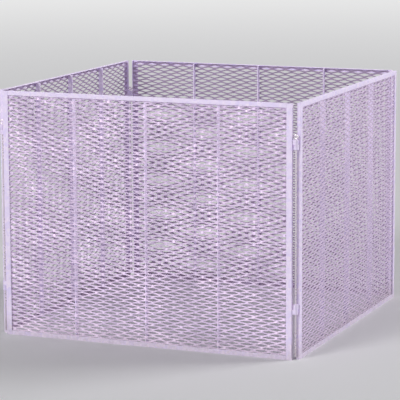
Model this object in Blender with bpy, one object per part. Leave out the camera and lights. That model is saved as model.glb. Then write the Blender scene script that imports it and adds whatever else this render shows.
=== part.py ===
"""Open compost bin of four expanded-metal panels, held together by four lift-out corner rods.

Units are metres and +Z is up. The origin is on the ground at the middle of the bin, the front
panel faces -Y and +X is to the right of someone facing the front.

Each panel is laid out in its own frame before it is turned into place: x runs to the right along
the panel as seen from outside, y runs inward from its outer face, and z is the height.
"""

import math
from dataclasses import dataclass

import bmesh
import bpy
from mathutils import Matrix, Vector

# Overall size of the closed bin, over the outer faces of its panels
WIDTH = 0.900
DEPTH = 0.900
HEIGHT = 0.700

# Gap left between pieces that touch or are welded on the real bin
GAP = 0.0003

# Angle-section edging round each panel
EDGE_THICKNESS = 0.002
EDGE_DEPTH = 0.010
STILE_FACE = 0.016
RAIL_FACE = 0.012

# Diamond mesh. The real diamonds are about 43 x 15.5 mm with 3 mm strands; these are coarser.
MESH_THICKNESS = 0.002
STRAND_WIDTH = 0.006
DIAMOND_LENGTH = 0.092
DIAMOND_HEIGHT = 0.0563

# Flat bars that stand on edge behind the mesh
STIFFENERS_PER_PANEL = 3
STIFFENER_THICKNESS = 0.003
STIFFENER_DEPTH = 0.015

# Corner rods, each with a ring head and a pointed lower end
ROD_DIAMETER = 0.005
ROD_END_HEIGHT = 0.008
ROD_POINT_LENGTH = 0.006
ROD_POINT_DIAMETER = 0.002
RING_DIAMETER = 0.0096

# Knuckles that the rods drop through, two to a stack and two stacks to a corner
KNUCKLE_WALL = 0.0037
KNUCKLE_HEIGHT = 0.0135
ROD_CLEARANCE = 0.0003
SWING_CLEARANCE = 0.0015
UPPER_STACK_DROP = 0.111
LOWER_STACK_HEIGHT = 0.140

# Number of flat sides on round pieces
ROUND_SIDES = 16
RING_SIDES = 10

# Places that follow from the sizes above
KNUCKLE_BORE_RADIUS = ROD_DIAMETER / 2 + ROD_CLEARANCE
KNUCKLE_RADIUS = KNUCKLE_BORE_RADIUS + KNUCKLE_WALL
ROD_INSET = EDGE_DEPTH
END_DISTANCE = KNUCKLE_RADIUS + SWING_CLEARANCE
MESH_FRONT = EDGE_THICKNESS + GAP
MESH_BACK = MESH_FRONT + MESH_THICKNESS
INNER_BOTTOM = EDGE_THICKNESS + GAP
INNER_TOP = HEIGHT - EDGE_THICKNESS - GAP
UPPER_STACK_HEIGHT = HEIGHT - UPPER_STACK_DROP
KNUCKLE_STEP = (KNUCKLE_HEIGHT + GAP) / 2
ROD_HEAD_BOTTOM = UPPER_STACK_HEIGHT + KNUCKLE_STEP + KNUCKLE_HEIGHT / 2 + GAP


@dataclass(frozen=True)
class Panel:
    """One side of the bin: its length, its turn about Z, and the end where it hangs."""

    name: str
    length: float
    centre: tuple
    turn: float
    hinge_end: int

    @property
    def rod_x(self):
        """Distance from the panel's middle to the rod at either end."""
        return self.length / 2 - ROD_INSET

    @property
    def end_x(self):
        """Distance from the panel's middle to the outer face of its end leg."""
        return self.rod_x - END_DISTANCE

    @property
    def hinge(self):
        """Where the panel hangs, in its own frame."""
        return Vector((self.hinge_end * self.rod_x, ROD_INSET, 0))


PANELS = (
    Panel("front", WIDTH, (0, -DEPTH / 2, 0), 0, -1),
    Panel("right", DEPTH, (WIDTH / 2, 0, 0), math.pi / 2, 1),
    Panel("back", WIDTH, (0, DEPTH / 2, 0), math.pi, 1),
    Panel("left", DEPTH, (-WIDTH / 2, 0, 0), -math.pi / 2, -1),
)

# Each rod: its corner, the panel that carries it, and which end of that panel it is at
RODS = (
    ("front_left", "front", -1),
    ("front_right", "front", 1),
    ("back_right", "back", -1),
    ("back_left", "back", 1),
)


def clear_scene():
    """Removes every object of the scene."""
    for item in list(bpy.data.objects):
        bpy.data.objects.remove(item, do_unlink=True)


def make_metal(name, colour, roughness, metallic):
    """A Principled metal of one colour."""
    material = bpy.data.materials.new(name)
    material.use_nodes = True
    shader = material.node_tree.nodes["Principled BSDF"]
    shader.inputs["Base Color"].default_value = (*colour, 1)
    shader.inputs["Roughness"].default_value = roughness
    shader.inputs["Metallic"].default_value = metallic
    material.diffuse_color = (*colour, 1)
    return material


def filled_slab(outline, holes, thickness):
    """A flat slab over an outline in x and y, with holes, from z = 0 up to its thickness."""
    slab = bmesh.new()
    edges = []
    for loop in [outline, *holes]:
        points = [slab.verts.new((x, y, 0)) for x, y in loop]
        for index, point in enumerate(points):
            edges.append(slab.edges.new((point, points[(index + 1) % len(points)])))
    bmesh.ops.triangle_fill(slab, edges=edges, use_beauty=True, normal=(0, 0, 1))
    extruded = bmesh.ops.extrude_face_region(slab, geom=slab.faces[:])
    lifted = [item for item in extruded["geom"] if isinstance(item, bmesh.types.BMVert)]
    bmesh.ops.translate(slab, verts=lifted, vec=(0, 0, thickness))
    bmesh.ops.recalc_face_normals(slab, faces=slab.faces[:])
    return slab


def turned(shape, matrix):
    """The same shape after a rotation."""
    bmesh.ops.transform(shape, matrix=matrix, verts=shape.verts[:])
    return shape


# Turns that stand a slab up: its x, y and z become the panel's x, z and -y, or its y, z and x
STAND_FACING_OUT = Matrix(((1, 0, 0), (0, 0, -1), (0, 1, 0))).to_4x4()
LAY_ALONG_PANEL = Matrix(((0, 0, 1), (1, 0, 0), (0, 1, 0))).to_4x4()


def add_piece(name, shape, material, parent, place, smooth=False):
    """Makes the named object from a shape, hung on its parent at a place in the parent's frame."""
    mesh = bpy.data.meshes.new(name)
    shape.to_mesh(mesh)
    shape.free()
    mesh.materials.append(material)
    if smooth:
        mesh.shade_smooth()
        mesh.set_sharp_from_angle(angle=math.radians(40))
    piece = bpy.data.objects.new(name, mesh)
    piece.parent = parent
    piece.location = place
    bpy.context.collection.objects.link(piece)
    return piece


def angle_section(face, side):
    """The L-shaped outline of the edging: a face leg and an inward leg at the origin's side."""
    outline = [
        (0, 0),
        (face, 0),
        (face, EDGE_THICKNESS),
        (EDGE_THICKNESS, EDGE_THICKNESS),
        (EDGE_THICKNESS, EDGE_DEPTH),
        (0, EDGE_DEPTH),
    ]
    return [(side * x, y) for x, y in outline]


def make_stile(side):
    """An upright at one end of a panel; side is 1 at the left end and -1 at the right."""
    return filled_slab(angle_section(STILE_FACE, side), [], HEIGHT)


def make_rail(length, side):
    """A rail between the stiles; side is 1 for the bottom rail and -1 for the top one."""
    outline = [(y, z) for z, y in angle_section(RAIL_FACE, side)]
    return turned(filled_slab(outline, [], length), LAY_ALONG_PANEL)


def diamond(centre_x, centre_z, half_length, half_height, reach_x, reach_z):
    """One opening, which the frame at reach_x and reach_z cuts to a half or, in a corner, a quarter."""
    corners = []
    for step_x, step_z in ((1, 0), (0, 1), (-1, 0), (0, -1)):
        x = centre_x + step_x * half_length
        z = centre_z + step_z * half_height
        if abs(x) <= reach_x + GAP and abs(z) <= reach_z + GAP:
            corners.append((x, z))
    if len(corners) == 2:
        corners.append((centre_x, centre_z))
    return corners


def make_mesh_sheet(panel):
    """The mesh of one panel: rows of diamonds, every second row shifted by half a diamond."""
    sheet_x = panel.end_x - EDGE_THICKNESS - GAP
    sheet_z = (INNER_TOP - INNER_BOTTOM) / 2
    reach_x = panel.end_x - STILE_FACE
    reach_z = HEIGHT / 2 - RAIL_FACE
    columns = max(1, round(2 * reach_x / DIAMOND_LENGTH))
    rows = max(1, round(2 * reach_z / DIAMOND_HEIGHT))
    half_pitch_x = reach_x / columns
    half_pitch_z = reach_z / rows
    shrink = 1 - STRAND_WIDTH / 2 * math.hypot(1 / half_pitch_x, 1 / half_pitch_z)

    holes = []
    for row in range(2 * rows + 1):
        for column in range(row % 2, 2 * columns + 1, 2):
            holes.append(
                diamond(
                    column * half_pitch_x - reach_x,
                    row * half_pitch_z - reach_z,
                    half_pitch_x * shrink,
                    half_pitch_z * shrink,
                    reach_x,
                    reach_z,
                )
            )
    outline = [(-sheet_x, -sheet_z), (sheet_x, -sheet_z), (sheet_x, sheet_z), (-sheet_x, sheet_z)]
    return turned(filled_slab(outline, holes, MESH_THICKNESS), STAND_FACING_OUT)


def make_stiffener():
    """A flat bar on edge, as tall as the mesh."""
    half = STIFFENER_THICKNESS / 2
    outline = [(-half, 0), (half, 0), (half, STIFFENER_DEPTH), (-half, STIFFENER_DEPTH)]
    return filled_slab(outline, [], INNER_TOP - INNER_BOTTOM)


def make_knuckle(side):
    """A ring for the rod with a foot to the stile; side is 1 at the left end, -1 at the right."""
    foot = END_DISTANCE - GAP
    steps = ROUND_SIDES * 3 // 4
    outline = [(foot, -KNUCKLE_RADIUS), (foot, 0)]
    for step in range(steps + 1):
        angle = math.radians(270) * step / steps
        outline.append((KNUCKLE_RADIUS * math.cos(angle), KNUCKLE_RADIUS * math.sin(angle)))
    bore = []
    for step in range(ROUND_SIDES):
        angle = 2 * math.pi * step / ROUND_SIDES
        bore.append((KNUCKLE_BORE_RADIUS * math.cos(angle), KNUCKLE_BORE_RADIUS * math.sin(angle)))
    outline = [(side * x, y) for x, y in outline]
    return filled_slab(outline, [bore], KNUCKLE_HEIGHT)


def make_turned_rod():
    """The straight part of a rod, turned about Z, up to the middle of its ring's wire."""
    radius = ROD_DIAMETER / 2
    ring_wire_middle = ROD_HEAD_BOTTOM + radius
    profile = (
        (ROD_POINT_DIAMETER / 2, ROD_END_HEIGHT),
        (radius, ROD_END_HEIGHT + ROD_POINT_LENGTH),
        (radius, ROD_HEAD_BOTTOM),
        (radius / 2, ring_wire_middle),
    )
    rod = bmesh.new()
    rings = []
    for ring_radius, height in profile:
        ring = []
        for step in range(ROUND_SIDES):
            angle = 2 * math.pi * (step + 0.5) / ROUND_SIDES
            ring.append(
                rod.verts.new((ring_radius * math.cos(angle), ring_radius * math.sin(angle), height))
            )
        rings.append(ring)
    rod.faces.new(rings[0][::-1])
    rod.faces.new(rings[-1])
    for low, high in zip(rings, rings[1:]):
        for step in range(ROUND_SIDES):
            after = (step + 1) % ROUND_SIDES
            rod.faces.new((low[step], low[after], high[after], high[step]))
    return rod


def make_ring():
    """The upright ring on a rod's head, in the plane of x and z about the origin."""
    wire = ROD_DIAMETER / 2
    ring = bmesh.new()
    circles = []
    for step in range(ROUND_SIDES):
        around = 2 * math.pi * (step + 0.5) / ROUND_SIDES
        circle = []
        for side in range(RING_SIDES):
            angle = 2 * math.pi * side / RING_SIDES
            distance = RING_DIAMETER / 2 + wire * math.cos(angle)
            circle.append(
                ring.verts.new(
                    (distance * math.cos(around), wire * math.sin(angle), distance * math.sin(around))
                )
            )
        circles.append(circle)
    for step in range(ROUND_SIDES):
        here = circles[step]
        there = circles[(step + 1) % ROUND_SIDES]
        for side in range(RING_SIDES):
            after = (side + 1) % RING_SIDES
            ring.faces.new((here[side], here[after], there[after], there[side]))
    bmesh.ops.recalc_face_normals(ring, faces=ring.faces[:])
    return ring


def hang_panel(panel):
    """The empty that a panel's pieces hang on, with its origin on the rod the panel turns about."""
    empty = bpy.data.objects.new(panel.name + "_panel", None)
    turn = Matrix.Rotation(panel.turn, 4, "Z")
    empty.location = Vector(panel.centre) + turn @ panel.hinge
    empty.rotation_euler = (0, 0, panel.turn)
    bpy.context.collection.objects.link(empty)
    return empty


def build_frame(panel, empty, steel):
    """The two stiles and two rails of a panel."""
    rail_x = panel.end_x - STILE_FACE - GAP
    for end, side in (("left", 1), ("right", -1)):
        place = Vector((-side * panel.end_x, 0, 0)) - panel.hinge
        add_piece(f"{panel.name}_{end}_stile", make_stile(side), steel, empty, place)
    for level, side, height in (("bottom", 1, 0), ("top", -1, HEIGHT)):
        place = Vector((-rail_x, 0, height)) - panel.hinge
        add_piece(f"{panel.name}_{level}_rail", make_rail(2 * rail_x, side), steel, empty, place)


def build_mesh(panel, empty, steel):
    """The mesh of a panel and the bars that stiffen it."""
    middle = Vector((0, MESH_BACK, HEIGHT / 2))
    add_piece(f"{panel.name}_mesh", make_mesh_sheet(panel), steel, empty, middle - panel.hinge)
    spacing = 2 * panel.end_x / (STIFFENERS_PER_PANEL + 1)
    for number in range(1, STIFFENERS_PER_PANEL + 1):
        place = Vector((number * spacing - panel.end_x, MESH_BACK + GAP, INNER_BOTTOM))
        name = f"{panel.name}_stiffener_{number}"
        add_piece(name, make_stiffener(), steel, empty, place - panel.hinge)


def build_knuckles(panel, empty, steel):
    """Four knuckles: the right end's is above its partner in the upper stack, below it in the lower."""
    for end, side in (("left", 1), ("right", -1)):
        for level, stack, above in (
            ("upper", UPPER_STACK_HEIGHT, -side),
            ("lower", LOWER_STACK_HEIGHT, side),
        ):
            bottom = stack + above * KNUCKLE_STEP - KNUCKLE_HEIGHT / 2
            place = Vector((-side * panel.rod_x, ROD_INSET, bottom)) - panel.hinge
            name = f"{panel.name}_{end}_{level}_knuckle"
            add_piece(name, make_knuckle(side), steel, empty, place, smooth=True)


def build_rod(corner, panel, side, empty, steel):
    """A corner rod with the ring that it is lifted by; side is the panel's end, 1 at the right."""
    place = Vector((side * panel.rod_x, ROD_INSET, 0)) - panel.hinge
    rod = add_piece(f"{corner}_rod", make_turned_rod(), steel, empty, place, smooth=True)
    ring_middle = ROD_HEAD_BOTTOM + ROD_DIAMETER / 2 + RING_DIAMETER / 2
    ring = add_piece(
        f"{corner}_ring_shape", make_ring(), steel, empty, place + Vector((0, 0, ring_middle)), smooth=True
    )
    ring.hide_render = True
    ring.display_type = "WIRE"
    union = rod.modifiers.new("ring", "BOOLEAN")
    union.operation = "UNION"
    union.solver = "EXACT"
    union.object = ring


def main():
    clear_scene()
    steel = make_metal("galvanised_steel", (0.62, 0.62, 0.68), 0.45, 1.0)
    mesh_steel = make_metal("galvanised_mesh", (0.55, 0.55, 0.62), 0.5, 1.0)
    rod_steel = make_metal("zinc_plated_rod", (0.70, 0.69, 0.72), 0.35, 1.0)

    empties = {}
    for panel in PANELS:
        empty = hang_panel(panel)
        empties[panel.name] = empty
        build_frame(panel, empty, steel)
        build_mesh(panel, empty, mesh_steel)
        build_knuckles(panel, empty, steel)

    by_name = {panel.name: panel for panel in PANELS}
    for corner, carrier, side in RODS:
        build_rod(corner, by_name[carrier], side, empties[carrier], rod_steel)
    bpy.context.view_layer.update()


main()
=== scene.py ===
"""Visual model of an open compost bin of galvanised expanded metal, dressed around its CAD frame.

Everything is laid out for the front panel first, with x to the right along the panel, y inward and
z up, and is then turned about the bin's middle to the side that it belongs to. Units are metres.
"""

import logging
import math
from dataclasses import dataclass, field
from enum import Enum

import bmesh
import bpy
import numpy as np
from mathutils import Matrix, Vector

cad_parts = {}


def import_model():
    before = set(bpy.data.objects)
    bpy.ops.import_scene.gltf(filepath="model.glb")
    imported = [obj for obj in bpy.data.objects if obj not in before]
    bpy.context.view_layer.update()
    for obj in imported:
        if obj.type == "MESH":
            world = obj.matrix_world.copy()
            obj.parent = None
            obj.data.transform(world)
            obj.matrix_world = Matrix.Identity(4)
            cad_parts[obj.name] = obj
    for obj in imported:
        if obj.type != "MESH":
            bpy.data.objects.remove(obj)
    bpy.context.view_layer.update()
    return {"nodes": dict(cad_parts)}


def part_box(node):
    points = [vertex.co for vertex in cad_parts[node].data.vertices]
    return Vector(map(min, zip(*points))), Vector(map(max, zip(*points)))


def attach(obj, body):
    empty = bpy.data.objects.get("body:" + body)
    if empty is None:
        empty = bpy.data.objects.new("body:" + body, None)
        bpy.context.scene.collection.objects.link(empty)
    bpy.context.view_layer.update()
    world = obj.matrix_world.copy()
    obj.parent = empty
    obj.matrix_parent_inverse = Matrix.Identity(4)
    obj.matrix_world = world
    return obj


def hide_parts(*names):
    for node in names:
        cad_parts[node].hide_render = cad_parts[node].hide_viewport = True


LOG = logging.getLogger("compost_bin")
MM = 0.001

# The Mix node's sockets go by number, because several of them have the same name
MIX_FACTOR = 0
MIX_FLOAT_A, MIX_FLOAT_B, MIX_FLOAT_RESULT = 2, 3, 0
MIX_COLOUR_A, MIX_COLOUR_B, MIX_COLOUR_RESULT = 6, 7, 2


class Side(Enum):
    """The four panels of the bin, each with its turn about Z from the front panel."""

    FRONT = 0
    RIGHT = 90
    BACK = 180
    LEFT = 270

    @property
    def title(self) -> str:
        """The panel's name as its CAD nodes begin with it."""
        return self.name.lower()

    @property
    def body(self) -> str:
        """The CAD body that the panel's pieces ride on."""
        return f"{self.title}_panel"

    @property
    def turn(self) -> Matrix:
        """The turn from the front panel's place to this one's."""
        return Matrix.Rotation(math.radians(self.value), 4, "Z")

    def box(self, part: str) -> tuple[Vector, Vector]:
        """Finds one of the panel's nodes as if the panel were the front one.

        Args:
            part: the node's name without the panel's, such as "top_rail".

        Returns:
            The lowest and highest corners of the node's box.
        """
        back = self.turn.inverted()
        ends = [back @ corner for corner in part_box(f"{self.title}_{part}")]
        return Vector(map(min, *ends)), Vector(map(max, *ends))


class End(Enum):
    """The two ends of a panel, each with the sign of its x."""

    LEFT = -1
    RIGHT = 1

    @property
    def title(self) -> str:
        """The end's name as it stands in the names of CAD nodes."""
        return self.name.lower()


class Rail(Enum):
    """The two rails of a panel."""

    TOP = "top"
    BOTTOM = "bottom"


class Stack(Enum):
    """The two heights at which a corner's knuckles stand one on the other."""

    UPPER = "upper"
    LOWER = "lower"


class Corner(Enum):
    """The four corners of the bin, each held by a rod."""

    FRONT_LEFT = "front_left_rod"
    FRONT_RIGHT = "front_right_rod"
    BACK_RIGHT = "back_right_rod"
    BACK_LEFT = "back_left_rod"


class Slot(Enum):
    """The material slots, by name."""

    STEEL = "galvanised_steel"
    MESH = "galvanised_mesh"
    ROD = "zinc_plated_rod"


def linear(code: str) -> tuple[float, float, float, float]:
    """Turns an sRGB hex colour into the linear colour that Blender's sockets take.

    Args:
        code: the colour as "#rrggbb".

    Returns:
        Linear red, green and blue, and an alpha of 1.
    """
    channels = [int(code[start:start + 2], 16) / 255 for start in (1, 3, 5)]
    red, green, blue = (
        value / 12.92 if value <= 0.04045 else ((value + 0.055) / 1.055) ** 2.4
        for value in channels
    )
    return red, green, blue, 1.0


def add_node(
    tree: bpy.types.NodeTree,
    kind: str,
    inputs: dict[str | int, object] | None = None,
    **settings: object,
) -> bpy.types.Node:
    """Adds a node to a tree with its settings and links.

    Args:
        tree: the node tree of a material or a world.
        kind: Blender's name for the type of node.
        inputs: a value, or the output socket to link, for each input by name or number.
        settings: the node's own properties.

    Returns:
        The new node.
    """
    node = tree.nodes.new(kind)
    for name, value in settings.items():
        setattr(node, name, value)
    for socket, value in (inputs or {}).items():
        if isinstance(value, bpy.types.NodeSocket):
            tree.links.new(value, node.inputs[socket])
        else:
            node.inputs[socket].default_value = value
    return node


@dataclass(frozen=True)
class GalvanisedSteel:
    """Mild steel coated in zinc, and weathered outdoors.

    Molten zinc freezes in crystals, so the eye sees soft spangles that differ a little in
    brightness and gloss. Rain leaves chalky patches on it, and soil dries on near the ground.
    """

    name: str
    bright: str
    shaded: str
    chalky: str
    spangle_mm: float
    roughness: float
    metallic: float

    # The feathered lines in a crystal: their weight beside its own tone, how many of them fit
    # across it, and how far they are drawn out
    feather_share: float = 0.4
    feathers: float = 7.0
    feather_stretch: tuple[float, float, float] = (1.0, 0.12, 0.5)
    # How far the smoothest and the roughest crystal are from the coat's roughness
    smoother: float = 0.08
    rougher: float = 0.06

    # Chalky patches: their size, the noise at which one starts and is full, and what it does
    patch_mm: float = 85.0
    patch_edge: tuple[float, float] = (0.4, 0.7)
    patch_cover: float = 0.7
    patch_dulling: float = 0.2

    soil: str = "#a3968c"
    soil_height_mm: float = 60.0
    soil_grain_mm: float = 7.0
    soil_cover: float = 0.6

    # Orange peel is finer than this on real zinc, and is drawn coarser so that it shows
    peel_mm: float = 1.8
    peel_depth_mm: float = 0.3
    peel_strength: float = 0.2

    def build(self) -> bpy.types.Material:
        """Makes the material.

        Returns:
            The Blender material, which reads the bin's own coordinates.
        """
        material = bpy.data.materials.new(self.name)
        material.use_nodes = True
        tree = material.node_tree
        shader = tree.nodes["Principled BSDF"]
        place = add_node(tree, "ShaderNodeTexCoord").outputs["Object"]
        tone, crystal_gloss = self.spangles(tree, place)
        chalk = self.chalk(tree, place)
        coat = linear(self.bright)
        for share, colour in (
            (tone, self.shaded),
            (chalk, self.chalky),
            (self.splash(tree, place), self.soil),
        ):
            mixed = add_node(
                tree,
                "ShaderNodeMix",
                {MIX_FACTOR: share, MIX_COLOUR_A: coat, MIX_COLOUR_B: linear(colour)},
                data_type="RGBA",
            )
            coat = mixed.outputs[MIX_COLOUR_RESULT]
        tree.links.new(coat, shader.inputs["Base Color"])
        tree.links.new(self.gloss(tree, crystal_gloss, chalk), shader.inputs["Roughness"])
        tree.links.new(self.peel(tree, place), shader.inputs["Normal"])
        shader.inputs["Metallic"].default_value = self.metallic
        return material

    def spangles(
        self, tree: bpy.types.NodeTree, place: bpy.types.NodeSocket
    ) -> tuple[bpy.types.NodeSocket, bpy.types.NodeSocket]:
        """Draws the crystals: an even tone each, with feathered lines that turn with the crystal.

        Args:
            tree: the material's node tree.
            place: the coordinates of the surface.

        Returns:
            The tone, from 0 for bright to 1 for shaded, and a random gloss for each crystal.
        """
        cell = add_node(
            tree,
            "ShaderNodeTexVoronoi",
            {"Vector": place, "Scale": 1 / (self.spangle_mm * MM)},
        )
        chance = add_node(tree, "ShaderNodeSeparateColor", {"Color": cell.outputs["Color"]})
        angle = add_node(
            tree,
            "ShaderNodeMath",
            {0: chance.outputs["Blue"], 1: math.tau},
            operation="MULTIPLY",
        )
        turned = add_node(
            tree,
            "ShaderNodeVectorRotate",
            {"Vector": place, "Axis": (1, 1, 1), "Angle": angle.outputs["Value"]},
        )
        stretched = add_node(
            tree,
            "ShaderNodeVectorMath",
            {0: turned.outputs["Vector"], 1: self.feather_stretch},
            operation="MULTIPLY",
        )
        feather = add_node(
            tree,
            "ShaderNodeTexNoise",
            {
                "Vector": stretched.outputs["Vector"],
                "Scale": self.feathers / (self.spangle_mm * MM),
            },
        )
        tone = add_node(
            tree,
            "ShaderNodeMix",
            {
                MIX_FACTOR: self.feather_share,
                MIX_FLOAT_A: chance.outputs["Red"],
                MIX_FLOAT_B: feather.outputs["Fac"],
            },
        )
        return tone.outputs[MIX_FLOAT_RESULT], chance.outputs["Green"]

    def chalk(
        self, tree: bpy.types.NodeTree, place: bpy.types.NodeSocket
    ) -> bpy.types.NodeSocket:
        """Spreads the chalky patches.

        Args:
            tree: the material's node tree.
            place: the coordinates of the surface.

        Returns:
            How chalky the zinc is, from 0 to the patches' cover.
        """
        cloud = add_node(
            tree,
            "ShaderNodeTexNoise",
            {"Vector": place, "Scale": 1 / (self.patch_mm * MM), "Detail": 4.0},
        )
        start, full = self.patch_edge
        patch = add_node(
            tree,
            "ShaderNodeMapRange",
            {
                "Value": cloud.outputs["Fac"],
                "From Min": start,
                "From Max": full,
                "To Max": self.patch_cover,
            },
        )
        return patch.outputs["Result"]

    def splash(
        self, tree: bpy.types.NodeTree, place: bpy.types.NodeSocket
    ) -> bpy.types.NodeSocket:
        """Speckles the foot of the bin with dried soil, thickest at the ground.

        Args:
            tree: the material's node tree.
            place: the coordinates of the surface.

        Returns:
            How much soil covers the zinc, from 0 to the soil's cover.
        """
        height = add_node(tree, "ShaderNodeSeparateXYZ", {"Vector": place}).outputs["Z"]
        low = add_node(
            tree,
            "ShaderNodeMapRange",
            {
                "Value": height,
                "From Max": self.soil_height_mm * MM,
                "To Min": self.soil_cover,
                "To Max": 0.0,
            },
        )
        speck = add_node(
            tree,
            "ShaderNodeTexNoise",
            {
                "Vector": place,
                "Scale": 1 / (self.soil_grain_mm * MM),
                "Detail": 3.0,
                "Roughness": 0.7,
            },
        )
        cover = add_node(
            tree,
            "ShaderNodeMath",
            {0: low.outputs["Result"], 1: speck.outputs["Fac"]},
            operation="MULTIPLY",
        )
        return cover.outputs["Value"]

    def gloss(
        self,
        tree: bpy.types.NodeTree,
        crystal_gloss: bpy.types.NodeSocket,
        chalk: bpy.types.NodeSocket,
    ) -> bpy.types.NodeSocket:
        """Makes the crystals differ in gloss, and the chalky patches matt.

        Args:
            tree: the material's node tree.
            crystal_gloss: a random value for each crystal.
            chalk: how chalky the zinc is.

        Returns:
            The roughness.
        """
        crystal = add_node(
            tree,
            "ShaderNodeMapRange",
            {
                "Value": crystal_gloss,
                "To Min": self.roughness - self.smoother,
                "To Max": self.roughness + self.rougher,
            },
        )
        matt = add_node(
            tree,
            "ShaderNodeMath",
            {0: chalk, 1: self.patch_dulling, 2: crystal.outputs["Result"]},
            operation="MULTIPLY_ADD",
            use_clamp=True,
        )
        return matt.outputs["Value"]

    def peel(
        self, tree: bpy.types.NodeTree, place: bpy.types.NodeSocket
    ) -> bpy.types.NodeSocket:
        """Gives the coat its faint orange peel.

        Args:
            tree: the material's node tree.
            place: the coordinates of the surface.

        Returns:
            The bumped normal.
        """
        grain = add_node(
            tree,
            "ShaderNodeTexNoise",
            {"Vector": place, "Scale": 1 / (self.peel_mm * MM), "Detail": 2.0},
        )
        bump = add_node(
            tree,
            "ShaderNodeBump",
            {
                "Height": grain.outputs["Fac"],
                "Strength": self.peel_strength,
                "Distance": self.peel_depth_mm * MM,
            },
        )
        return bump.outputs["Normal"]


# Dipped after it was slit and stretched: pale, and chalky on its many cut edges
MESH_FINISH = GalvanisedSteel(
    name="hot_dip_galvanised_expanded_steel",
    bright="#d9c3dd",
    shaded="#b2a2c1",
    chalky="#c8b7d3",
    spangle_mm=7.0,
    roughness=0.5,
    metallic=0.42,
)
# Rolled angle and flat bar, dipped: broad faces on which the spangles show best
EDGING_FINISH = GalvanisedSteel(
    name="hot_dip_galvanised_rolled_steel",
    bright="#fdf0ff",
    shaded="#e4d8fe",
    chalky="#f4eaff",
    spangle_mm=9.0,
    roughness=0.6,
    metallic=0.53,
)
# Drawn wire, electroplated: smoother and brighter, with hardly any spangle
ROD_FINISH = GalvanisedSteel(
    name="zinc_electroplated_drawn_wire",
    bright="#f6edf3",
    shaded="#ece2ec",
    chalky="#e4dbe6",
    spangle_mm=3.0,
    roughness=0.3,
    metallic=0.7,
)
# Weld metal, dipped with the panel: rougher and a little darker where the zinc runs off it
WELD_FINISH = GalvanisedSteel(
    name="hot_dip_galvanised_weld_metal",
    bright="#e6dcef",
    shaded="#cfc4de",
    chalky="#dbd2e4",
    spangle_mm=3.0,
    roughness=0.5,
    metallic=0.45,
    peel_mm=0.9,
)


def arc_points(radius: float, degrees: float, steps: int) -> list[tuple[float, float]]:
    """Lays points along an arc about the origin, from the x axis.

    Args:
        radius: the arc's radius.
        degrees: how far it goes round.
        steps: the number of steps along it.

    Returns:
        The points, one more than the steps.
    """
    angles = [math.radians(degrees) * step / steps for step in range(steps + 1)]
    return [(radius * math.cos(angle), radius * math.sin(angle)) for angle in angles]


def circle_points(radius: float, sides: int) -> list[tuple[float, float]]:
    """Lays as many points as sides round a circle about the origin, from the x axis."""
    return arc_points(radius, 360, sides)[:-1]


@dataclass
class Skin:
    """A mesh while it is built: points, and faces that number them."""

    points: list[Vector] = field(default_factory=list)
    faces: list[tuple[int, ...]] = field(default_factory=list)

    def add_point(self, point: Vector) -> int:
        """Adds a point and returns its number."""
        self.points.append(point)
        return len(self.points) - 1

    def add_ring(self, points: list[Vector]) -> list[int]:
        """Adds the points of a ring and returns their numbers."""
        return [self.add_point(point) for point in points]

    def bridge(self, lower: list[int], upper: list[int]) -> None:
        """Joins two rings of equal count by a band of faces.

        Args:
            lower: the first ring, counter-clockwise when looked at against the way to the next.
            upper: the next ring.
        """
        count = len(lower)
        for step in range(count):
            after = (step + 1) % count
            self.faces.append((lower[step], lower[after], upper[after], upper[step]))

    def fan(self, ring: list[int], tip: int, ends: bool) -> None:
        """Closes a ring to a tip.

        Args:
            ring: the ring's numbers.
            tip: the tip's number.
            ends: True at the far end of a sweep, and False at its start.
        """
        count = len(ring)
        for step in range(count):
            here, there = ring[step], ring[(step + 1) % count]
            self.faces.append((here, there, tip) if ends else (there, here, tip))

    def to_mesh(self, name: str, turn: Matrix | None = None) -> bpy.types.Mesh:
        """Makes the Blender mesh.

        Args:
            name: the mesh's name.
            turn: the turn from the front panel's place, if any.

        Returns:
            The mesh, with flat faces.
        """
        mesh = bpy.data.meshes.new(name)
        mesh.from_pydata([tuple(point) for point in self.points], [], self.faces)
        if turn is not None:
            mesh.transform(turn)
        mesh.validate()
        mesh.update()
        return mesh


def place_piece(
    name: str,
    mesh: bpy.types.Mesh,
    material: bpy.types.Material,
    body: str,
    stands_for: str | None = None,
) -> bpy.types.Object:
    """Puts a piece of the bin in the scene.

    Args:
        name: the piece's name.
        mesh: its mesh, with its points where they are on the bin.
        material: its finish.
        body: the CAD body that it rides on.
        stands_for: the CAD node that it replaces, if any.

    Returns:
        The new object.
    """
    mesh.materials.clear()
    mesh.materials.append(material)
    piece = bpy.data.objects.new(name, mesh)
    bpy.context.scene.collection.objects.link(piece)
    if stands_for is not None:
        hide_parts(stands_for)
    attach(piece, body)
    LOG.info("%s: %d faces", name, len(mesh.polygons))
    return piece


def smooth(mesh: bpy.types.Mesh, sharp_degrees: float) -> None:
    """Shades a mesh smooth, except over edges sharper than an angle."""
    mesh.shade_smooth()
    mesh.set_sharp_from_angle(angle=math.radians(sharp_degrees))


def round_edges(piece: bpy.types.Object, width: float, segments: int) -> None:
    """Rounds a piece's sharp edges, as a thick coat of zinc does.

    Args:
        piece: the object.
        width: how far the rounding reaches from each edge.
        segments: the number of facets across it.
    """
    rounded = piece.modifiers.new("rounded", "BEVEL")
    rounded.width = width
    rounded.segments = segments
    rounded.limit_method = "ANGLE"
    rounded.harden_normals = True


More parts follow.
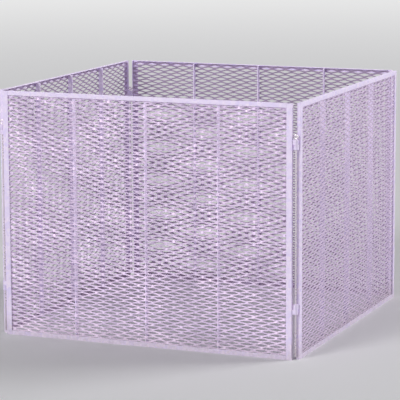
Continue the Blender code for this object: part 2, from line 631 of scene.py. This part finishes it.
@dataclass(kw_only=True)
class Lattice(Skin):
    """The bonds and strands of one expanded sheet, about the middle of its front face.

    A bond is the short leaning plate between the ends of two slits. Bonds stand in columns and
    rows, on every second crossing, and a strand runs from each quarter of a bond to the next one.
    A diamond takes two columns and two rows.
    """

    last_column: int
    last_row: int
    step_x: float
    step_z: float
    half_bond: float
    strand_width: float
    lean: float
    back: Vector
    shifts: np.ndarray
    known: dict[tuple[int, int, int, int], int] = field(default_factory=dict)

    def corner(self, column: int, row: int, along: int, up: int) -> int:
        """Finds or adds a corner of a bond on the front face, and its twin on the back face.

        Args:
            column: the bond's column.
            row: the bond's row.
            along: the corner's side along the bond: -1, 0 or 1.
            up: the corner's side up the bond: -1, 0 or 1.

        Returns:
            The number of the front corner. Its twin has the next number.
        """
        key = (column, row, along, up)
        if key not in self.known:
            shift_x, shift_z = self.shifts[column, row]
            x = (column - self.last_column // 2) * self.step_x + along * self.half_bond + shift_x
            z = (row - self.last_row // 2) * self.step_z + up * self.strand_width + shift_z
            front = Vector((x, up * self.lean, z))
            self.known[key] = self.add_point(front)
            self.add_point(front + self.back)
        return self.known[key]

    def plate(self, *outline: int) -> None:
        """Adds a front face, counter-clockwise from outside, and its twin on the back."""
        self.faces.append(outline)
        self.faces.append(tuple(number + 1 for number in reversed(outline)))

    def wall(self, start: int, end: int) -> None:
        """Adds the cut edge between two front corners, with the metal to the left of the way."""
        self.faces.append((start, start + 1, end + 1, end))

    def add_half_bond(self, column: int, row: int, up: int) -> None:
        """Adds a bond's upper or lower half, sheared off at the border of the sheet.

        Args:
            column: the bond's column.
            row: the bond's row.
            up: 1 for the upper half and -1 for the lower one.
        """
        first, last = column == 0, column == self.last_column
        left, right = (0 if first else -1), (0 if last else 1)
        low_left = self.corner(column, row, left, 0)
        low_right = self.corner(column, row, right, 0)
        high_right = self.corner(column, row, right, up)
        high_left = self.corner(column, row, left, up)
        outline = (low_left, low_right, high_right, high_left)
        self.plate(*(outline if up > 0 else outline[::-1]))
        cuts = [(high_right, high_left)]
        if first:
            cuts.append((high_left, low_left))
        if last:
            cuts.append((low_right, high_right))
        for cut in cuts:
            self.wall(*(cut if up > 0 else cut[::-1]))

    def add_strand(self, column: int, row: int, way: int) -> None:
        """Adds the strand from a bond's upper quarter to the next bond up.

        Args:
            column: the bond's column.
            row: the bond's row.
            way: 1 for the strand to the right and -1 for the one to the left.
        """
        tip, flat = self.corner(column, row, way, 0), self.corner(column, row, way, 1)
        far_tip = self.corner(column + way, row + 1, -way, 0)
        far_flat = self.corner(column + way, row + 1, -way, -1)
        if way > 0:
            self.plate(tip, far_flat, far_tip, flat)
            self.wall(tip, far_flat)
            self.wall(far_tip, flat)
        else:
            self.plate(tip, flat, far_tip, far_flat)
            self.wall(far_flat, tip)
            self.wall(flat, far_tip)

    def add_border(self, column: int, row: int) -> None:
        """Adds the sheared edge along the sheet's top or bottom, through the middle of a bond.

        Args:
            column: the bond's column.
            row: the bond's row, which is the first or the last.
        """
        left = self.corner(column, row, 0 if column == 0 else -1, 0)
        right = self.corner(column, row, 0 if column == self.last_column else 1, 0)
        self.wall(*((left, right) if row == 0 else (right, left)))

    def fill(self) -> None:
        """Adds every bond and strand of the sheet."""
        for column in range(self.last_column + 1):
            for row in range((column + 1) % 2, self.last_row + 1, 2):
                if row < self.last_row:
                    self.add_half_bond(column, row, 1)
                if row > 0:
                    self.add_half_bond(column, row, -1)
                if row in (0, self.last_row):
                    self.add_border(column, row)
                for way in (-1, 1):
                    if 0 <= column + way <= self.last_column and row < self.last_row:
                        self.add_strand(column, row, way)


@dataclass
class ExpandedSheets:
    """The sheets of expanded metal, slit and stretched so that they open in diamonds."""

    diamonds_across: int = 20
    diamonds_up: int = 45
    bond_length: float = 5.0 * MM
    strand_width: float = 3.9 * MM
    thickness: float = 1.2 * MM
    # How far a strand leans inward over its width, which the stretching gives it
    lean: float = 1.2 * MM
    # How far the middle of the sheet's front face lies behind the outer face of the edging
    depth: float = 3.25 * MM
    # How far a bond strays from its place as the press leaves it, as a rule and at most
    stray: float = 0.18 * MM
    most_stray: float = 0.36 * MM
    seed: int = 11

    def build(self, material: bpy.types.Material) -> None:
        """Makes the four sheets, each in place of its panel's CAD sheet.

        Args:
            material: the finish.
        """
        for number, side in enumerate(Side):
            low, high = side.box("mesh")
            lattice = self.lattice(high.x - low.x, high.z - low.z, self.seed + number)
            lattice.fill()
            outer = side.box("top_rail")[0].y
            shift = Vector(((low.x + high.x) / 2, outer + self.depth, (low.z + high.z) / 2))
            name = f"{side.title}_expanded_sheet"
            mesh = lattice.to_mesh(name, side.turn @ Matrix.Translation(shift))
            place_piece(name, mesh, material, side.body, f"{side.title}_mesh")

    def lattice(self, across: float, tall: float, seed: int) -> Lattice:
        """Sets out a sheet.

        Args:
            across: the sheet's width.
            tall: the sheet's height.
            seed: the seed of the bonds' stray, which the bonds on the border are free of.

        Returns:
            The lattice, still empty.
        """
        last_column, last_row = 2 * self.diamonds_across, 2 * self.diamonds_up
        crossings = (last_column + 1, last_row + 1, 2)
        shifts = np.random.default_rng(seed).normal(0.0, self.stray, crossings)
        shifts = shifts.clip(-self.most_stray, self.most_stray)
        shifts[[0, -1]] = 0.0
        shifts[:, [0, -1]] = 0.0
        slope = math.atan2(self.lean, self.strand_width)
        return Lattice(
            last_column=last_column,
            last_row=last_row,
            step_x=across / last_column,
            step_z=tall / last_row,
            half_bond=self.bond_length / 2,
            strand_width=self.strand_width,
            lean=self.lean,
            back=Vector((0.0, math.cos(slope), -math.sin(slope))) * self.thickness,
            shifts=shifts,
        )


@dataclass
class Edging:
    """The angle-section stiles and rails of the panels and the flat bars behind the sheets."""

    edge_round: float = 0.5 * MM
    round_steps: int = 2
    # The frame's nodes come with their points split at sharp edges, and are joined again first
    join_distance: float = 0.01 * MM
    parts: tuple[str, ...] = (
        "left_stile",
        "right_stile",
        "top_rail",
        "bottom_rail",
        "stiffener_1",
        "stiffener_2",
        "stiffener_3",
    )

    def dress(self, nodes: dict[str, bpy.types.Object], material: bpy.types.Material) -> None:
        """Gives each carried node its zinc finish and slightly rounded edges.

        Args:
            nodes: the CAD nodes by name.
            material: the finish.
        """
        for side in Side:
            for part in self.parts:
                node = nodes[f"{side.title}_{part}"]
                node.data.materials.clear()
                node.data.materials.append(material)
                joined = node.modifiers.new("joined", "WELD")
                joined.merge_threshold = self.join_distance
                round_edges(node, self.edge_round, self.round_steps)
                LOG.info("%s_%s: dressed", side.title, part)


@dataclass
class Knuckles:
    """The knuckles that the rods drop through, each welded to its stile by its foot."""

    sides: int = 40
    sharp_degrees: float = 35.0
    edge_round: float = 0.6 * MM
    round_steps: int = 3
    bore_radius: float = 2.8 * MM

    def build(self, material: bpy.types.Material) -> None:
        """Makes the sixteen knuckles in place of the CAD ones.

        Args:
            material: the finish.
        """
        for side in Side:
            for end in End:
                for stack in Stack:
                    part = f"{end.title}_{stack.value}_knuckle"
                    name = f"{side.title}_{part}"
                    shape = self.shape(*side.box(part), end)
                    bmesh.ops.transform(shape, matrix=side.turn, verts=shape.verts[:])
                    mesh = bpy.data.meshes.new(name)
                    shape.to_mesh(mesh)
                    shape.free()
                    smooth(mesh, self.sharp_degrees)
                    piece = place_piece(
                        f"{name}_bored", mesh, material, side.body, name
                    )
                    round_edges(piece, self.edge_round, self.round_steps)

    def shape(self, low: Vector, high: Vector, end: End) -> bmesh.types.BMesh:
        """Makes one knuckle at the front panel.

        Args:
            low: the lowest corner of its CAD node's box.
            high: the highest corner.
            end: the end of the panel that it is at.

        Returns:
            The knuckle as one closed shape.
        """
        radius = (high.y - low.y) / 2
        centre_x = low.x + radius if end is End.LEFT else high.x - radius
        foot = high.x - low.x - radius
        # The barrel goes three quarters of the way round, and the foot fills the last quarter
        outline = [(foot, -radius), (foot, 0.0)] + arc_points(radius, 270, self.sides * 3 // 4)
        bore = circle_points(self.bore_radius, self.sides)
        shape = bmesh.new()
        edges = []
        for loop in (outline, bore):
            points = [
                shape.verts.new((centre_x - end.value * x, low.y + radius + y, low.z))
                for x, y in loop
            ]
            for index, point in enumerate(points):
                edges.append(shape.edges.new((point, points[(index + 1) % len(points)])))
        bmesh.ops.triangle_fill(shape, edges=edges, use_beauty=True, normal=(0, 0, 1))
        extruded = bmesh.ops.extrude_face_region(shape, geom=shape.faces[:])
        lifted = [item for item in extruded["geom"] if isinstance(item, bmesh.types.BMVert)]
        bmesh.ops.translate(shape, verts=lifted, vec=(0, 0, high.z - low.z))
        # Makes one face of each flat end, which the fill leaves in triangles
        bmesh.ops.dissolve_limit(
            shape, angle_limit=math.radians(1), verts=shape.verts[:], edges=shape.edges[:]
        )
        bmesh.ops.recalc_face_normals(shape, faces=shape.faces[:])
        return shape


@dataclass
class Rods:
    """The four corner rods, each with an upright ring to lift it by and a pointed lower end."""

    wire: float = 2.5 * MM
    ring_radius: float = 4.8 * MM
    point_length: float = 6.0 * MM
    sides: int = 32
    ring_steps: int = 64
    ring_sides: int = 20
    sharp_degrees: float = 50.0
    # The fusing leaves slivers that have no area, and edges up to this long are closed up
    sliver: float = 0.001 * MM

    def build(self, material: bpy.types.Material) -> None:
        """Makes the rods in place of the CAD ones.

        Args:
            material: the finish.
        """
        for corner in Corner:
            low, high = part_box(corner.value)
            ring_height = high.z - self.wire - self.ring_radius
            stem, ring = self.stem(low.z, ring_height), self.ring(ring_height)
            name = f"{corner.value}_round"
            mesh = self.fused(name, stem, ring)
            mesh.transform(Matrix.Translation(((low.x + high.x) / 2, (low.y + high.y) / 2, 0)))
            smooth(mesh, self.sharp_degrees)
            place_piece(name, mesh, material, corner.value, corner.value)

    def stem(self, bottom: float, ring_height: float) -> Skin:
        """Makes the straight part of a rod about the Z axis, from its point into its ring.

        Args:
            bottom: the height of its point.
            ring_height: the height of the ring's middle.

        Returns:
            The closed stem.
        """
        neck = ring_height - self.ring_radius
        # Radius and height of each step: a blunt point, the straight wire, and a neck that
        # narrows into the ring
        profile = (
            (0.45 * self.wire, bottom),
            (0.7 * self.wire, bottom + 0.3 * self.point_length),
            (self.wire, bottom + self.point_length),
            (self.wire, neck - 0.9 * self.wire),
            (0.95 * self.wire, neck - 0.5 * self.wire),
            (0.5 * self.wire, neck),
        )
        skin = Skin()
        rings = []
        for radius, height in profile:
            circle = circle_points(radius, self.sides)
            rings.append(skin.add_ring([Vector((x, y, height)) for x, y in circle]))
        for lower, upper in zip(rings, rings[1:]):
            skin.bridge(lower, upper)
        skin.faces.append(tuple(reversed(rings[0])))
        skin.faces.append(tuple(rings[-1]))
        return skin

    def ring(self, height: float) -> Skin:
        """Makes the upright ring at a rod's head, across the front of the bin.

        Args:
            height: the height of its middle.

        Returns:
            The closed ring.
        """
        skin = Skin()
        circles = []
        for step in range(self.ring_steps):
            around = math.tau * (step + 0.5) / self.ring_steps
            outward = Vector((math.cos(around), 0.0, math.sin(around)))
            section = circle_points(self.wire, self.ring_sides)
            middle = Vector((0.0, 0.0, height)) + self.ring_radius * outward
            circles.append(
                skin.add_ring([middle + x * outward + Vector((0.0, y, 0.0)) for x, y in section])
            )
        for step, circle in enumerate(circles):
            skin.bridge(circle, circles[(step + 1) % self.ring_steps])
        return skin

    def fused(self, name: str, first: Skin, second: Skin) -> bpy.types.Mesh:
        """Fuses two closed shapes with an exact Boolean.

        Args:
            name: the name of the mesh.
            first: one shape.
            second: the other.

        Returns:
            The fused mesh.
        """
        holders = []
        for skin in (first, second):
            shape = bmesh.new()
            rough = skin.to_mesh("part_of_rod")
            shape.from_mesh(rough)
            bmesh.ops.recalc_face_normals(shape, faces=shape.faces[:])
            shape.to_mesh(rough)
            shape.free()
            holder = bpy.data.objects.new("part_of_rod", rough)
            bpy.context.scene.collection.objects.link(holder)
            holders.append(holder)
        fuse = holders[0].modifiers.new("fuse", "BOOLEAN")
        fuse.operation = "UNION"
        fuse.solver = "EXACT"
        fuse.object = holders[1]
        graph = bpy.context.evaluated_depsgraph_get()
        mesh = bpy.data.meshes.new_from_object(holders[0].evaluated_get(graph))
        mesh.name = name
        shape = bmesh.new()
        shape.from_mesh(mesh)
        bmesh.ops.dissolve_degenerate(shape, dist=self.sliver, edges=shape.edges[:])
        shape.to_mesh(mesh)
        shape.free()
        for holder in holders:
            rough = holder.data
            bpy.data.objects.remove(holder)
            bpy.data.meshes.remove(rough)
        return mesh


@dataclass
class Welds:
    """The weld beads that hold each panel together, rippled where the weld pool froze."""

    bead_sides: int = 8
    fewest_steps: int = 5
    sharp_degrees: float = 60.0
    # The length of a ripple, and how much of the bead's radius it takes off
    ripple: float = 1.0 * MM
    ripple_share: float = 0.1
    foot_radius: float = 1.1 * MM
    # How far the bead along the back of a knuckle's foot stands out of it
    foot_seam_proud: float = 0.4 * MM
    tack_radius: float = 1.3 * MM
    tack_length: float = 8.0 * MM
    bars: tuple[int, ...] = (1, 2, 3)
    tacks_per_bar: int = 6
    tacks_per_stile: int = 7
    tacks_per_rail: int = 8
    seam_radius: float = 0.45 * MM
    bar_end_radius: float = 0.9 * MM
    edging_thickness: float = 2.0 * MM
    # How far the back of the sheet lies behind the outer face of the edging
    sheet_back: float = 4.5 * MM

    def build(self, material: bpy.types.Material) -> None:
        """Welds the four panels.

        Args:
            material: the finish.
        """
        for side in Side:
            skin = Skin()
            for end in End:
                self.weld_knuckles(skin, side, end)
                self.weld_stile(skin, side, end)
            for bar in self.bars:
                self.weld_bar(skin, side, bar)
            for rail in Rail:
                self.weld_rail(skin, side, rail)
            name = f"{side.title}_welds"
            mesh = skin.to_mesh(name, side.turn)
            smooth(mesh, self.sharp_degrees)
            place_piece(name, mesh, material, side.body)

    def bead(self, skin: Skin, start: Vector, end: Vector, radius: float) -> None:
        """Lays one bead with round ends.

        Args:
            skin: the mesh that takes the bead.
            start: where it starts.
            end: where it ends.
            radius: its greatest radius.
        """
        way = (end - start).normalized()
        across = way.orthogonal().normalized()
        over = way.cross(across)
        steps = max(self.fewest_steps, round((end - start).length / self.ripple))
        rings = []
        for step in range(1, steps):
            share = step / steps
            # Full over most of the length, and round at both ends
            swell = (1 - (2 * share - 1) ** 4) ** 0.5
            reach = radius * swell * (1 - self.ripple_share * (step % 2))
            middle = start.lerp(end, share)
            section = circle_points(reach, self.bead_sides)
            rings.append(skin.add_ring([middle + x * across + y * over for x, y in section]))
        for lower, upper in zip(rings, rings[1:]):
            skin.bridge(lower, upper)
        skin.fan(rings[0], skin.add_point(start), ends=False)
        skin.fan(rings[-1], skin.add_point(end), ends=True)

    def weld_knuckles(self, skin: Skin, side: Side, end: End) -> None:
        """Welds the two knuckles of one end to the stile, outside the foot and along its back.

        Args:
            skin: the mesh that takes the beads.
            side: the panel.
            end: the end of the panel.
        """
        stile = side.box(f"{end.title}_stile")
        stile_x = (stile[0] if end is End.LEFT else stile[1]).x
        inset = Vector((0.0, 0.0, self.foot_radius / 2))
        for stack in Stack:
            low, high = side.box(f"{end.title}_{stack.value}_knuckle")
            back_y = (low.y + high.y) / 2 - self.foot_radius + self.foot_seam_proud
            for y in (low.y, back_y):
                foot = Vector((stile_x, y, low.z))
                head = Vector((stile_x, y, high.z))
                self.bead(skin, foot + inset, head - inset, self.foot_radius)

    def weld_stile(self, skin: Skin, side: Side, end: End) -> None:
        """Tacks the sheet to a stile, and closes the seams between the stile and the rails.

        Args:
            skin: the mesh that takes the beads.
            side: the panel.
            end: the end of the panel.
        """
        low, high = side.box(f"{end.title}_stile")
        outer, inner = (low.x, high.x) if end is End.LEFT else (high.x, low.x)
        tack_x = outer - end.value * self.edging_thickness
        half = Vector((0.0, 0.0, self.tack_length / 2))
        for number in range(self.tacks_per_stile):
            height = (high.z - low.z) * (number + 0.5) / self.tacks_per_stile
            middle = Vector((tack_x, low.y + self.sheet_back, height))
            self.bead(skin, middle - half, middle + half, self.tack_radius)
        for rail in Rail:
            rail_low, rail_high = side.box(f"{rail.value}_rail")
            seam_y = low.y + self.seam_radius
            foot = Vector((inner, seam_y, rail_low.z + self.seam_radius))
            head = Vector((inner, seam_y, rail_high.z - self.seam_radius))
            self.bead(skin, foot, head, self.seam_radius)

    def weld_bar(self, skin: Skin, side: Side, bar: int) -> None:
        """Tacks a flat bar to the sheet on both of its sides, and to both rails.

        Args:
            skin: the mesh that takes the beads.
            side: the panel.
            bar: the bar's number along the panel.
        """
        low, high = side.box(f"stiffener_{bar}")
        rail_back = side.box("top_rail")[1].y
        half = Vector((0.0, 0.0, self.tack_length / 2))
        for x in (low.x, high.x):
            for tack in range(self.tacks_per_bar):
                height = low.z + (high.z - low.z) * (tack + 0.5) / self.tacks_per_bar
                middle = Vector((x, low.y, height))
                self.bead(skin, middle - half, middle + half, self.tack_radius)
            for z in (low.z, high.z):
                near, far = Vector((x, low.y, z)), Vector((x, rail_back, z))
                self.bead(skin, near, far, self.bar_end_radius)

    def weld_rail(self, skin: Skin, side: Side, rail: Rail) -> None:
        """Tacks the sheet's edge to a rail.

        Args:
            skin: the mesh that takes the beads.
            side: the panel.
            rail: the rail.
        """
        low, high = side.box(f"{rail.value}_rail")
        top = rail is Rail.TOP
        z = high.z - self.edging_thickness if top else low.z + self.edging_thickness
        half = Vector((self.tack_length / 2, 0.0, 0.0))
        for number in range(self.tacks_per_rail):
            x = low.x + (high.x - low.x) * (number + 0.5) / self.tacks_per_rail
            middle = Vector((x, low.y + self.sheet_back, z))
            self.bead(skin, middle - half, middle + half, self.tack_radius)


@dataclass
class Lamp:
    """A soft lamp far off, by the side and the height that its light comes from."""

    name: str
    strength: float
    azimuth: float
    elevation: float
    softness: float

    def hang(self) -> None:
        """Adds the lamp. Azimuth 0 is in front of the bin and 90 is to its right."""
        sun = bpy.data.lights.new(self.name, "SUN")
        sun.energy = self.strength
        sun.angle = math.radians(self.softness)
        lamp = bpy.data.objects.new(self.name, sun)
        turn = Matrix.Rotation(math.radians(self.azimuth), 4, "Z")
        lamp.matrix_world = turn @ Matrix.Rotation(math.radians(90 - self.elevation), 4, "X")
        bpy.context.scene.collection.objects.link(lamp)


@dataclass
class Studio:
    """The camera at the photograph's angle, the pale floor and the soft light."""

    # The view that was fitted to the bin's corners in the 400 x 400 photograph
    azimuth: float = 22.353
    elevation: float = 9.587
    roll: float = -0.246
    position: tuple[float, float, float] = (2.3252, -5.6994, 1.3835)
    focal_pixels: float = 2114.2
    image_pixels: int = 400
    sensor_mm: float = 36.0

    floor_size: float = 120.0
    # The distances from the bin over which the floor fades into the backdrop
    fade_start: float = 4.0
    fade_end: float = 16.0
    floor_colour: str = "#f2f2f4"
    floor_roughness: float = 0.9
    sky_colour: str = "#ffffff"
    sky_strength: float = 0.14
    backdrop_strength: float = 0.85
    lamps: tuple[Lamp, ...] = (
        Lamp("front_lamp", strength=1.35, azimuth=-24, elevation=27, softness=24),
        Lamp("rear_lamp", strength=1.6, azimuth=128, elevation=30, softness=30),
    )

    def build(self) -> None:
        """Sets up the camera, the floor and the lights."""
        self.place_camera()
        self.lay_floor()
        self.light_world()
        for lamp in self.lamps:
            lamp.hang()
        bpy.context.scene.view_settings.view_transform = "Standard"

    def place_camera(self) -> None:
        """Puts the camera where the photograph was taken from."""
        data = bpy.data.cameras.new("camera")
        data.sensor_width = self.sensor_mm
        data.lens = self.focal_pixels / self.image_pixels * self.sensor_mm
        data.clip_end = self.floor_size
        camera = bpy.data.objects.new("camera", data)
        turn = Matrix.Rotation(math.radians(self.azimuth), 4, "Z")
        tilt = Matrix.Rotation(math.radians(90 - self.elevation), 4, "X")
        bank = Matrix.Rotation(math.radians(self.roll), 4, "Z")
        camera.matrix_world = Matrix.Translation(self.position) @ turn @ tilt @ bank
        bpy.context.scene.collection.objects.link(camera)
        bpy.context.scene.camera = camera

    def lay_floor(self) -> None:
        """Lays a plain pale floor under the bin, which fades into the backdrop far from it."""
        matt = bpy.data.materials.new("plain_matt_floor")
        matt.use_nodes = True
        tree = matt.node_tree
        shader = tree.nodes["Principled BSDF"]
        shader.inputs["Base Color"].default_value = linear(self.floor_colour)
        shader.inputs["Roughness"].default_value = self.floor_roughness
        place = add_node(tree, "ShaderNodeTexCoord").outputs["Object"]
        distance = add_node(tree, "ShaderNodeVectorMath", {0: place}, operation="LENGTH")
        far = add_node(
            tree,
            "ShaderNodeMapRange",
            {
                "Value": distance.outputs["Value"],
                "From Min": self.fade_start,
                "From Max": self.fade_end,
            },
            interpolation_type="SMOOTHSTEP",
        )
        fade = add_node(
            tree,
            "ShaderNodeMath",
            {0: far.outputs["Result"], 1: self.seen(tree)},
            operation="MULTIPLY",
        )
        backdrop = add_node(
            tree,
            "ShaderNodeEmission",
            {"Color": linear(self.sky_colour), "Strength": self.backdrop_strength},
        )
        faded = add_node(
            tree,
            "ShaderNodeMixShader",
            {0: fade.outputs["Value"], 1: shader.outputs["BSDF"], 2: backdrop.outputs["Emission"]},
        )
        tree.links.new(faded.outputs["Shader"], tree.nodes["Material Output"].inputs["Surface"])
        half = self.floor_size / 2
        corners = [(-half, -half, 0), (half, -half, 0), (half, half, 0), (-half, half, 0)]
        mesh = bpy.data.meshes.new("floor")
        mesh.from_pydata(corners, [], [(0, 1, 2, 3)])
        mesh.materials.append(matt)
        floor = bpy.data.objects.new("floor", mesh)
        bpy.context.scene.collection.objects.link(floor)

    @staticmethod
    def seen(tree: bpy.types.NodeTree) -> bpy.types.NodeSocket:
        """Tells what is seen, in the picture or in a reflection, from what only gives light.

        Args:
            tree: the node tree of the floor's material or of the world.

        Returns:
            1 for a camera, glossy or transmission ray, and 0 for any other.
        """
        ray = add_node(tree, "ShaderNodeLightPath")
        reflected = add_node(
            tree,
            "ShaderNodeMath",
            {0: ray.outputs["Is Glossy Ray"], 1: ray.outputs["Is Transmission Ray"]},
            operation="MAXIMUM",
        )
        seen = add_node(
            tree,
            "ShaderNodeMath",
            {0: ray.outputs["Is Camera Ray"], 1: reflected.outputs["Value"]},
            operation="MAXIMUM",
        )
        return seen.outputs["Value"]

    def light_world(self) -> None:
        """Lights the bin with an even sky, which looks paler to the camera and in reflections."""
        scene = bpy.context.scene
        scene.world = scene.world or bpy.data.worlds.new("studio")
        scene.world.use_nodes = True
        tree = scene.world.node_tree
        tree.nodes.clear()
        strength = add_node(
            tree,
            "ShaderNodeMapRange",
            {
                "Value": self.seen(tree),
                "To Min": self.sky_strength,
                "To Max": self.backdrop_strength,
            },
        )
        sky = add_node(
            tree,
            "ShaderNodeBackground",
            {"Color": linear(self.sky_colour), "Strength": strength.outputs["Result"]},
        )
        add_node(tree, "ShaderNodeOutputWorld", {"Surface": sky.outputs["Background"]})


def main() -> None:
    """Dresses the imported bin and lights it."""
    logging.basicConfig(level=logging.INFO, format="%(name)s: %(message)s")
    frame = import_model()

    edging = EDGING_FINISH.build()
    Studio().build()
    Edging().dress(frame["nodes"], edging)
    ExpandedSheets().build(MESH_FINISH.build())
    Knuckles().build(edging)
    Rods().build(ROD_FINISH.build())
    Welds().build(WELD_FINISH.build())


if __name__ == "__main__":
    main()
